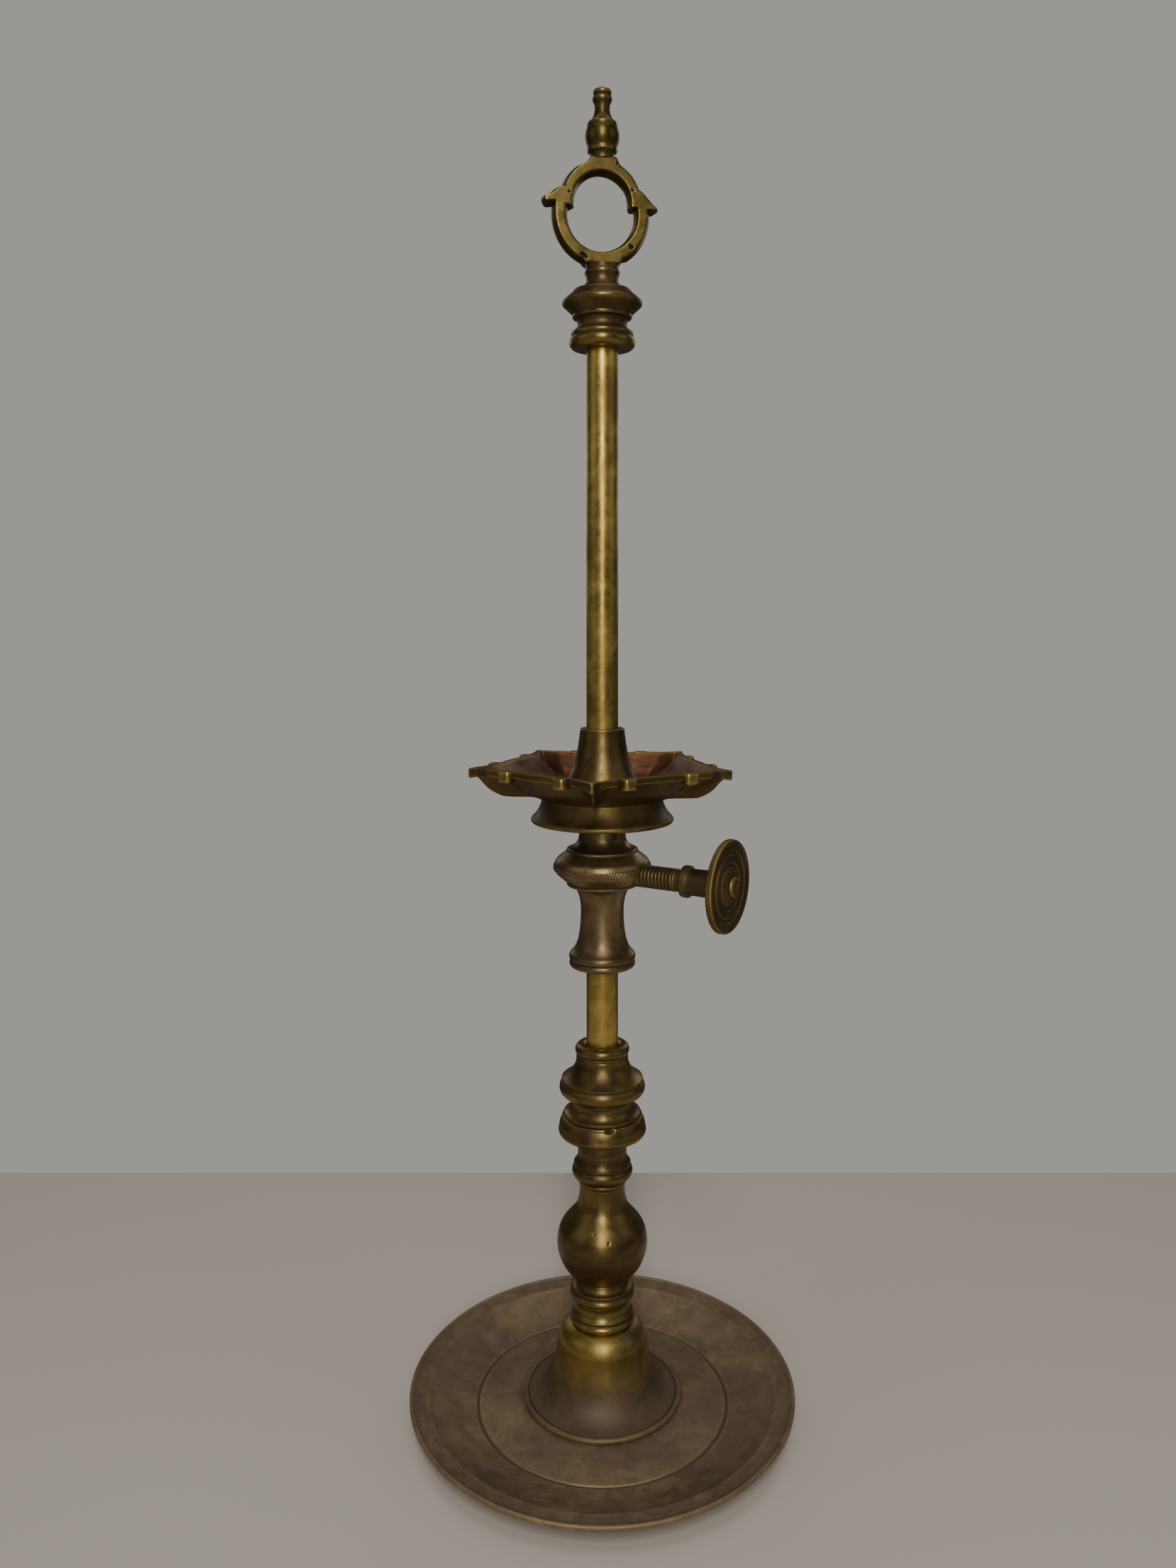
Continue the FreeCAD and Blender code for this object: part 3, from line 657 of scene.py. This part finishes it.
def ring_handle(material):
    """The carrying ring: rounded edges, a ridge round its middle and casting pits."""
    section = [(-y, by) for y, by in RING_EDGE] + list(RING_EDGE[-2::-1])
    points, shade, faces, rims = [], [], [], {-1: [], 1: []}
    for loop, sign in zip(face_loops("ring_handle"), (1, -1)):
        line = blurred(curved(loop, True), True, reach=2.2)[::5]
        x, y = line.T
        if (x * np.roll(y, -1) - y * np.roll(x, -1)).sum() < 0:
            line = line[::-1]
        away = line - RING_CENTRE
        away /= np.hypot(*away.T)[:, None]
        hollow = ((blurred(line, True, reach=1.6) - line) * away).sum(1) * sign
        if sign > 0:
            free = np.clip((np.abs(line[:, 0]) - RING_SEAT - SEAT_MARGIN) / SEAT_FADE, 0, 1)
            away *= free[:, None]
        # Hollow corners are darkened with dirt and painted shade; the faces' edges and the middle
        # ridge are rubbed.
        corner = np.clip(-hollow / RING_HOLLOW, -1, 0.6)
        start = len(points)
        for y, by in section:
            for p in line + by * sign * away:
                points.append((p[0], y, p[1]))
            edge = 0.45 if abs(by) < 0.2 or by > 1.2 else 0.1
            shade += [edge + value if value > -0.3 else value for value in corner]
        faces += [tuple(start + i for i in f)[::-sign]
                  for f in rings_to_faces(len(section), len(line), False)]
        rims[-1].append(range(start, start + len(line)))
        rims[1].append(range(len(points) - len(line), len(points)))
    for side, (outer, hole) in rims.items():
        outline, opening = (np.array([(points[i][0], points[i][2]) for i in loop])
                            for loop in (outer, hole))
        grid, depth, triangles = ring_face(outline, opening, side)
        index = [*outer, *hole, *range(len(points), len(points) + len(grid))]
        for (x, y), d in zip(grid, depth):
            points.append((x, side * (RING_HALF - d), y))
            # Pits are darkened with dirt and painted shade.
            shade.append(-1.0 if d > 0.12 else 0.0)
        faces += [tuple(index[i] for i in t[::-side]) for t in triangles]
    placed = []
    for u, y, z in points:
        y += 0.05 * noise.noise(Vector((u, 3 * y, z)) / 5)
        placed.append((*turned_by(u, y, RING_TURN), z))
    add_piece("ring_handle_beaked", placed, faces, "stand", material,
              ["ring_handle"], np.clip(np.array(shade, np.float32), -1, 1))


# ---- materials ----------------------------------------------------------
RUBBED = (0.52, 0.377, 0.104)
GRIME_AND_SHADE = (0.018, 0.012, 0.007)


def aged_brass(name, bright, dull, grime_and_shade, patina=0.5, rough=(0.34, 0.56), metal=0.9,
               mottling=0.09, turning=0.0, pits=0.0, worn=0.5, bump=0.25, warm=None,
               dark_below=None):
    """Old brass: patina in clouds, dirt and painted shade in the grooves, rubbed ridges, turning
    marks, pits. bright, dull and grime are colours, grime being that of the dirt and painted
    shade, and warm is the bright colour of points marked warm.
    patina is its share of the surface, rough the least and the greatest roughness, and the other
    numbers are strengths. dark_below is (low, high): from the higher height down to the lower one
    the surface turns wholly to the dull colour, and becomes less metallic and rougher."""
    material = bpy.data.materials.new(name)
    material.use_nodes = True
    nodes, links = material.node_tree.nodes, material.node_tree.links
    nodes.clear()
    output = nodes.new("ShaderNodeOutputMaterial")
    shader = nodes.new("ShaderNodeBsdfPrincipled")
    links.new(shader.outputs[0], output.inputs[0])
    place = nodes.new("ShaderNodeTexCoord")

    def put(value, socket):
        if isinstance(value, (int, float)):
            socket.default_value = value
        elif isinstance(value, tuple):
            socket.default_value = (*value, 1.0)
        else:
            links.new(value, socket)

    def clouds(scale, detail, roughness=0.6, stretch=(1, 1, 1), distortion=0.0):
        mapping = nodes.new("ShaderNodeMapping")
        mapping.inputs["Scale"].default_value = stretch
        links.new(place.outputs["Object"], mapping.inputs["Vector"])
        texture = nodes.new("ShaderNodeTexNoise")
        texture.inputs["Scale"].default_value = scale
        texture.inputs["Detail"].default_value = detail
        texture.inputs["Roughness"].default_value = roughness
        texture.inputs["Distortion"].default_value = distortion
        links.new(mapping.outputs[0], texture.inputs["Vector"])
        return texture.outputs["Fac"]

    def mixed(factor, a, b, mode="MIX"):
        mix = nodes.new("ShaderNodeMix")
        mix.data_type = "RGBA"
        mix.blend_type = mode
        put(factor, mix.inputs[0])
        put(a, mix.inputs[6])
        put(b, mix.inputs[7])
        return mix.outputs[2]

    def spread(value, low, high, to_low=0.0, to_high=1.0):
        node = nodes.new("ShaderNodeMapRange")
        for key, number in zip(("From Min", "From Max", "To Min", "To Max"),
                               (low, high, to_low, to_high)):
            node.inputs[key].default_value = number
        links.new(value, node.inputs["Value"])
        return node.outputs[0]

    def maths(operation, a, b):
        node = nodes.new("ShaderNodeMath")
        node.operation = operation
        put(a, node.inputs[0])
        put(b, node.inputs[1])
        return node.outputs[0]

    def attribute(title):
        node = nodes.new("ShaderNodeAttribute")
        node.attribute_name = title
        return node.outputs["Fac"]

    wear_dirt_and_shade = attribute("wear_dirt_and_shade")
    broad = clouds(scale=26.0, detail=5.0, roughness=0.62, distortion=0.5)
    blotches = clouds(scale=105.0, detail=6.0, roughness=0.68, distortion=0.7)
    grain = clouds(scale=900.0, detail=3.0)
    # Patina over the bright metal. Where the dull colour closes in towards the bottom, its edge
    # wanders by up to 3 mm.
    cover = spread(broad, 0.62 - 0.5 * patina, 0.84 - 0.5 * patina)
    cover = maths("MULTIPLY", cover, spread(blotches, 0.25, 0.55, 0.55, 1.0))
    if dark_below:
        split = nodes.new("ShaderNodeSeparateXYZ")
        links.new(place.outputs["Object"], split.inputs[0])
        low, high = (limit * MM for limit in dark_below)
        closed = spread(maths("ADD", split.outputs["Z"], maths("MULTIPLY", blotches, 6 * MM)),
                        high + 3 * MM, low + 3 * MM)
        cover = maths("MAXIMUM", cover, closed)
        metal = maths("SUBTRACT", metal, maths("MULTIPLY", closed, 0.3))
    if warm:
        marked = attribute("warm")
        bright = mixed(marked, bright, warm)
        dull = mixed(marked, dull, tuple(0.5 * c for c in warm))
    colour = mixed(cover, bright, dull)
    shade = spread(blotches, 0.3, 0.7, 1.0 - 2.2 * mottling, 1.0 + 2.2 * mottling)
    colour = mixed(1.0, colour, shade, "MULTIPLY")
    # Dirt and painted shade in the grooves, and rubbed metal on the ridges.
    groove_dirt_and_shade = spread(wear_dirt_and_shade, -0.12, -0.75)
    groove_dirt_and_shade = maths("MULTIPLY", groove_dirt_and_shade, spread(blotches, 0.2, 0.6, 0.7, 1.0))
    colour = mixed(groove_dirt_and_shade, colour, grime_and_shade)
    ridge = maths("MULTIPLY", spread(wear_dirt_and_shade, 0.15, 0.8), worn)
    ridge = maths("MULTIPLY", ridge, spread(blotches, 0.3, 0.6, 0.4, 1.0))
    colour = mixed(ridge, colour, RUBBED)
    # Roughness and metal: patina and dirt are duller than the metal under them.
    roughness = spread(blotches, 0.3, 0.75, *rough)
    roughness = maths("ADD", roughness, maths("MULTIPLY", cover, 0.08))
    roughness = maths("ADD", roughness, maths("MULTIPLY", groove_dirt_and_shade, 0.2))
    if dark_below:
        roughness = maths("ADD", roughness, maths("MULTIPLY", closed, 0.14))
    roughness = maths("SUBTRACT", roughness, maths("MULTIPLY", ridge, 0.08))
    metallic = maths("SUBTRACT", metal, maths("MULTIPLY", groove_dirt_and_shade, 0.6))
    if pits:
        cells = nodes.new("ShaderNodeTexVoronoi")
        cells.inputs["Scale"].default_value = 230.0
        links.new(place.outputs["Object"], cells.inputs["Vector"])
        pit = spread(cells.outputs["Distance"], 0.16, 0.07)
        where = clouds(scale=70.0, detail=2.0)
        pit = maths("MULTIPLY", pit, spread(where, 0.64 - 0.12 * pits, 0.66))
        colour = mixed(maths("MULTIPLY", pit, 0.85), colour, grime_and_shade)
        roughness = maths("ADD", roughness, maths("MULTIPLY", pit, 0.25))
    # Fine relief: grain, blotches, upright scratches and rings from turning.
    scratches = clouds(scale=330.0, detail=4.0, roughness=0.7, stretch=(1.0, 1.0, 0.12))
    height = maths("ADD", maths("MULTIPLY", grain, 0.3), maths("MULTIPLY", scratches, 0.3))
    height = maths("ADD", height, maths("MULTIPLY", blotches, 0.9))
    if turning:
        rings = clouds(scale=1500.0, detail=2.0, roughness=0.5, stretch=(0.02, 0.02, 1.0))
        height = maths("ADD", height, maths("MULTIPLY", rings, turning))
    relief = nodes.new("ShaderNodeBump")
    relief.inputs["Strength"].default_value = bump
    relief.inputs["Distance"].default_value = 0.25 * MM
    links.new(height, relief.inputs["Height"])
    links.new(relief.outputs[0], shader.inputs["Normal"])
    put(colour, shader.inputs["Base Color"])
    put(roughness, shader.inputs["Roughness"])
    put(metallic, shader.inputs["Metallic"])
    return material


STEM = aged_brass("stem_brass", (0.25, 0.178, 0.052), (0.092, 0.058, 0.028), GRIME_AND_SHADE,
                  patina=0.5, rough=(0.25, 0.40), turning=0.4, pits=0.9, worn=0.25, bump=0.32)
BELL = aged_brass("bell_brass", (0.35, 0.250, 0.058), (0.140, 0.098, 0.062), GRIME_AND_SHADE,
                  patina=0.5, rough=(0.30, 0.46), turning=0.3, pits=0.5, worn=0.3,
                  dark_below=(16, 38))
FOOT = aged_brass("foot_brass", (0.14, 0.100, 0.032), (0.115, 0.078, 0.040), GRIME_AND_SHADE,
                  patina=0.5, rough=(0.36, 0.54), turning=0.3, pits=0.3, worn=0.3)
SLEEVE = aged_brass("sleeve_brass", (0.36, 0.262, 0.120), (0.135, 0.090, 0.050), GRIME_AND_SHADE,
                    patina=0.58, rough=(0.26, 0.44), turning=0.3, pits=0.6, worn=0.25,
                    bump=0.34)
ROD = aged_brass("rod_brass", (0.60, 0.44, 0.115), (0.24, 0.158, 0.045), (0.030, 0.020, 0.008),
                 patina=0.5, rough=(0.25, 0.42), mottling=0.18, pits=2.5, bump=0.4)
RING = aged_brass("ring_brass", (0.135, 0.098, 0.026), (0.075, 0.052, 0.017), GRIME_AND_SHADE,
                  patina=0.4, rough=(0.26, 0.42), pits=0.2, worn=0.45, bump=0.14)
DISH = aged_brass("dish_brass", (0.30, 0.216, 0.120), (0.215, 0.152, 0.106),
                  (0.070, 0.050, 0.032), patina=0.55, rough=(0.46, 0.62), metal=0.7,
                  mottling=0.13, turning=0.2, pits=0.3, worn=0.15)
PAN = aged_brass("pan_brass", (0.20, 0.138, 0.040), (0.10, 0.060, 0.028), GRIME_AND_SHADE,
                 patina=0.55, rough=(0.30, 0.46), pits=0.3, worn=0.7,
                 warm=(0.20, 0.088, 0.040))
SCREW = aged_brass("screw_brass", (0.20, 0.142, 0.055), (0.095, 0.064, 0.032), GRIME_AND_SHADE,
                   patina=0.6, turning=0.2, pits=0.2, worn=0.4, bump=0.15)
HIDDEN = aged_brass("hidden_brass", (0.36, 0.26, 0.11), (0.24, 0.16, 0.07),
                    (0.05, 0.035, 0.02))


# ---- the pieces ---------------------------------------------------------
# Dents, as handmade takes them. Their stretch of height also gets closer rings below.
BALL_DENTS = ((-80.6, 96.3, 0.75, 0.3, 1.6, 1.1), (-103, 99.5, 0.5, 0.25, 1.0, 0.0),
              (-84, 100.0, 0.4, 0.2, 1.0, 0.0), (-136, 93.5, 0.4, 0.2, 1.0, 0.0))
SKIRT_DENTS = ((-79, 151.9, 1.4, 1.3, 2.3, 0.1), (-95, 147.0, 1.6, 0.2, 1.6, 0.4),
               (-62, 152.3, 0.5, 0.5, 3.0, 0.0))
# The thread: where it starts and ends along the screw, the radius inside which there is
# none, the pitch that its coupling has, its depth and the length over which it fades out.
THREAD_START, THREAD_END, THREAD_CORE = 21.0, 38.9, 4.6
THREAD_PITCH, THREAD_DEPTH, THREAD_FADE = 1.8, 1.0, 1.2
DISC_EDGE = 20.75             # radius from which the disc is milled
STROKES, STROKE_DEPTH = 118, 0.3       # the disc's milled strokes


def threaded(r, along, turn):
    """Relief of the screw's right-hand thread."""
    if r < THREAD_CORE or not THREAD_START < along < THREAD_END:
        return 0.0
    phase = (along / THREAD_PITCH - turn / (2 * math.pi)) % 1.0
    fade = min(1.0, (along - THREAD_START) / THREAD_FADE, (THREAD_END - along) / THREAD_FADE)
    return -THREAD_DEPTH * fade * abs(2 * phase - 1) ** 3


def milled(r, along, turn):
    """Relief of the disc's slightly slanted milled strokes."""
    if r < DISC_EDGE:
        return 0.0
    return -STROKE_DEPTH * abs(math.cos(0.5 * STROKES * turn + 0.9 * along)) ** 3


turned("base_dish", DISH, segments=256, relief=handmade(1.0, 0.16, 26.0), longest=3.0,
       soft=1.6)
turned("base_bell", BELL, relief=handmade(2.0, 0.12, 14.0))
turned("lower_collar", STEM, relief=handmade(3.0, 0.05, 9.0))
turned("baluster", STEM, segments=256, extra=((92, 101, 0.2),),
       relief=handmade(4.0, 0.10, 13.0, dents=BALL_DENTS))
turned("drip_skirt", STEM, segments=256, extra=((148, 154, 0.2),),
       relief=handmade(5.0, 0.10, 10.0, dents=SKIRT_DENTS))
turned("rod_socket", STEM, relief=handmade(6.0, 0.06, 10.0))
turned("stem_rod", ROD, segments=96, longest=6.0)
turned("finial_spool", STEM, relief=handmade(7.0, 0.06, 9.0))
turned("top_knob", RING, segments=96, relief=handmade(12.0, 0.05, 5.0, bore=3.0), longest=0.7)
turned("pan_foot", FOOT, relief=handmade(8.0, 0.12, 14.0), body="slider")
turned("pan_tube", STEM, relief=handmade(9.0, 0.08, 12.0), body="pan")
turned("sleeve", SLEEVE, relief=handmade(10.0, 0.08, 12.0), body="clamp_sleeve")
pan_bowl(PAN)
ring_handle(RING)

# Milled lines: name, radius, height, body, material and half width.
for name, radius, height, body, material, wide in (
        ("rope_collar_low", 14.7, 51.1, "stand", STEM, 0.6),
        ("rope_collar_middle", 13.6, 58.2, "stand", STEM, 0.5),
        ("rope_collar_top", 14.7, 64.35, "stand", STEM, 0.55),
        ("rope_neck", 13.6, 128.05, "stand", STEM, 0.6),
        ("rope_skirt", 18.3, 153.7, "stand", STEM, 0.55),
        ("rope_skirt_top", 15.4, 161.1, "stand", STEM, 0.5),
        ("rope_socket", 19.3, 170.75, "stand", STEM, 0.6),
        ("rope_socket_neck", 12.1, 182.7, "stand", STEM, 0.75),
        ("rope_sleeve_foot", 15.2, 232.3, "clamp_sleeve", SLEEVE, 0.5),
        ("rope_sleeve_waist", 16.4, 266.1, "clamp_sleeve", SLEEVE, 0.5),
        ("rope_sleeve_step", 16.4, 282.1, "clamp_sleeve", SLEEVE, 0.5)):
    rope(name, radius, height, body, material, wide)
rope("rope_sleeve_bulge", 22.55, 274.0, "clamp_sleeve", SLEEVE,
     wide=1.35, proud=0.42, pitch=1.35, slant=-0.55, rows=24)

turned("thumbscrew_shank", SCREW, segments=96, relief=threaded, body="thumbscrew",
       about=about_screw, extra=((THREAD_START - 0.5, THREAD_END + 0.3, 0.2),), edge_wear_and_shade=0.4)
turned("thumbscrew_disc", SCREW, segments=6 * STROKES, relief=milled, body="thumbscrew",
       about=about_screw, extra=((62.0, 65.2, 0.4),), tolerance=0.02, longest=3.0,
       edge_wear_and_shade=0.8)
turned("thumbscrew_rivet", SCREW, segments=64, body="screw_travel", about=about_screw,
       longest=0.8)
rope("rope_screw_bead", 7.15, 43.8, "thumbscrew", SCREW,
     wide=1.5, proud=0.3, pitch=1.15, rows=24, about=about_screw)

for node in ("base_washer", "base_nut", "tie_stud"):
    frame["nodes"][node].data.materials.clear()
    frame["nodes"][node].data.materials.append(HIDDEN)


# ---- floor, light and camera, in metres ---------------------------------
FLOOR_HALF, FLOOR_END = 3.0, 0.24      # half its width, and its far edge behind the lamp
FLOOR_COLOURS = ((0.62, 0.565, 0.51), (0.65, 0.595, 0.54))
WALL = (0.36, 0.345, 0.325)            # background as the camera sees it
ROOM = (0.062, 0.058, 0.054)           # background as the metal mirrors it
WHITE, CREAM, BLUISH = (1.0, 0.98, 0.95), (1.0, 0.97, 0.90), (0.96, 0.97, 1.0)
# Area lights: name, place, the point they face, size, watts and colour.
LIGHTS = (
    ("key", (0.0, -1.15, 1.0), (0, 0, 0.3), (0.2, 1.1), 11.5, CREAM),
    ("low", (0.0, -1.4, 0.2), (0, 0, 0.25), (0.4, 0.4), 0.6, (1.0, 0.97, 0.92)),
    ("left", (-1.2, -0.5, 0.9), (0, 0, 0.25), (0.9, 0.9), 1.0, BLUISH),
    ("right", (1.2, -0.4, 0.9), (0, 0, 0.25), (0.9, 0.9), 1.0, BLUISH),
    ("top", (0.0, 0.1, 1.9), (0, 0, 0.2), (1.4, 1.2), 5.2, WHITE),
    ("back_left", (-0.8, 1.2, 0.9), (0, 0, 0.3), (0.5, 1.0), 1.3, WHITE),
    ("back_right", (0.8, 1.2, 0.9), (0, 0, 0.3), (0.5, 1.0), 1.3, WHITE))
CAMERA_PLACE, CAMERA_DOWN = (0.0, -0.5323, 0.3927), 8.56      # its tilt in degrees
LENS, SENSOR, SHIFT = 26.85, 36.0, -0.0091


def pale_floor():
    """A faintly mottled floor that ends not far behind the lamp."""
    half, end = FLOOR_HALF, FLOOR_END
    mesh = bpy.data.meshes.new("floor")
    mesh.from_pydata([(-half, -half, 0), (half, -half, 0), (half, end, 0), (-half, end, 0)],
                     [], [(0, 1, 2, 3)])
    floor = bpy.data.objects.new("floor", mesh)
    bpy.context.scene.collection.objects.link(floor)
    material = bpy.data.materials.new("floor_pale")
    material.use_nodes = True
    nodes, links = material.node_tree.nodes, material.node_tree.links
    shader = nodes["Principled BSDF"]
    texture = nodes.new("ShaderNodeTexNoise")
    texture.inputs["Scale"].default_value = 9.0
    texture.inputs["Detail"].default_value = 4.0
    shade = nodes.new("ShaderNodeValToRGB")
    for element, place, colour in zip(shade.color_ramp.elements, (0.3, 0.7), FLOOR_COLOURS):
        element.position = place
        element.color = (*colour, 1.0)
    links.new(texture.outputs["Fac"], shade.inputs["Fac"])
    links.new(shade.outputs["Color"], shader.inputs["Base Color"])
    shader.inputs["Roughness"].default_value = 0.75
    mesh.materials.append(material)


def background():
    """A wall colour for the camera, and a dim room for everything else."""
    world = bpy.data.worlds.new("studio")
    bpy.context.scene.world = world
    world.use_nodes = True
    nodes, links = world.node_tree.nodes, world.node_tree.links
    seen = nodes["Background"]
    seen.inputs["Color"].default_value = (*WALL, 1.0)
    dim = nodes.new("ShaderNodeBackground")
    dim.inputs["Color"].default_value = (*ROOM, 1.0)
    path = nodes.new("ShaderNodeLightPath")
    mix = nodes.new("ShaderNodeMixShader")
    links.new(path.outputs["Is Camera Ray"], mix.inputs[0])
    links.new(dim.outputs[0], mix.inputs[1])
    links.new(seen.outputs[0], mix.inputs[2])
    links.new(mix.outputs[0], nodes["World Output"].inputs[0])


def area_light(name, place, aim, size, power, colour):
    """A rectangular light that faces a point."""
    data = bpy.data.lights.new(name, "AREA")
    data.shape = "RECTANGLE"
    data.size, data.size_y = size
    data.energy = power
    data.color = colour
    light = bpy.data.objects.new(name, data)
    light.location = place
    light.rotation_euler = (Vector(aim) - Vector(place)).to_track_quat("-Z", "Y").to_euler()
    bpy.context.scene.collection.objects.link(light)


def photo_camera():
    """The camera, placed as the photo's perspective has it."""
    data = bpy.data.cameras.new("camera")
    data.lens = LENS
    data.sensor_width = SENSOR
    data.shift_x = SHIFT
    camera = bpy.data.objects.new("camera", data)
    camera.location = CAMERA_PLACE
    camera.rotation_euler = (math.radians(90 - CAMERA_DOWN), 0, 0)
    bpy.context.scene.collection.objects.link(camera)
    bpy.context.scene.camera = camera


pale_floor()
background()
for light in LIGHTS:
    area_light(*light)
photo_camera()
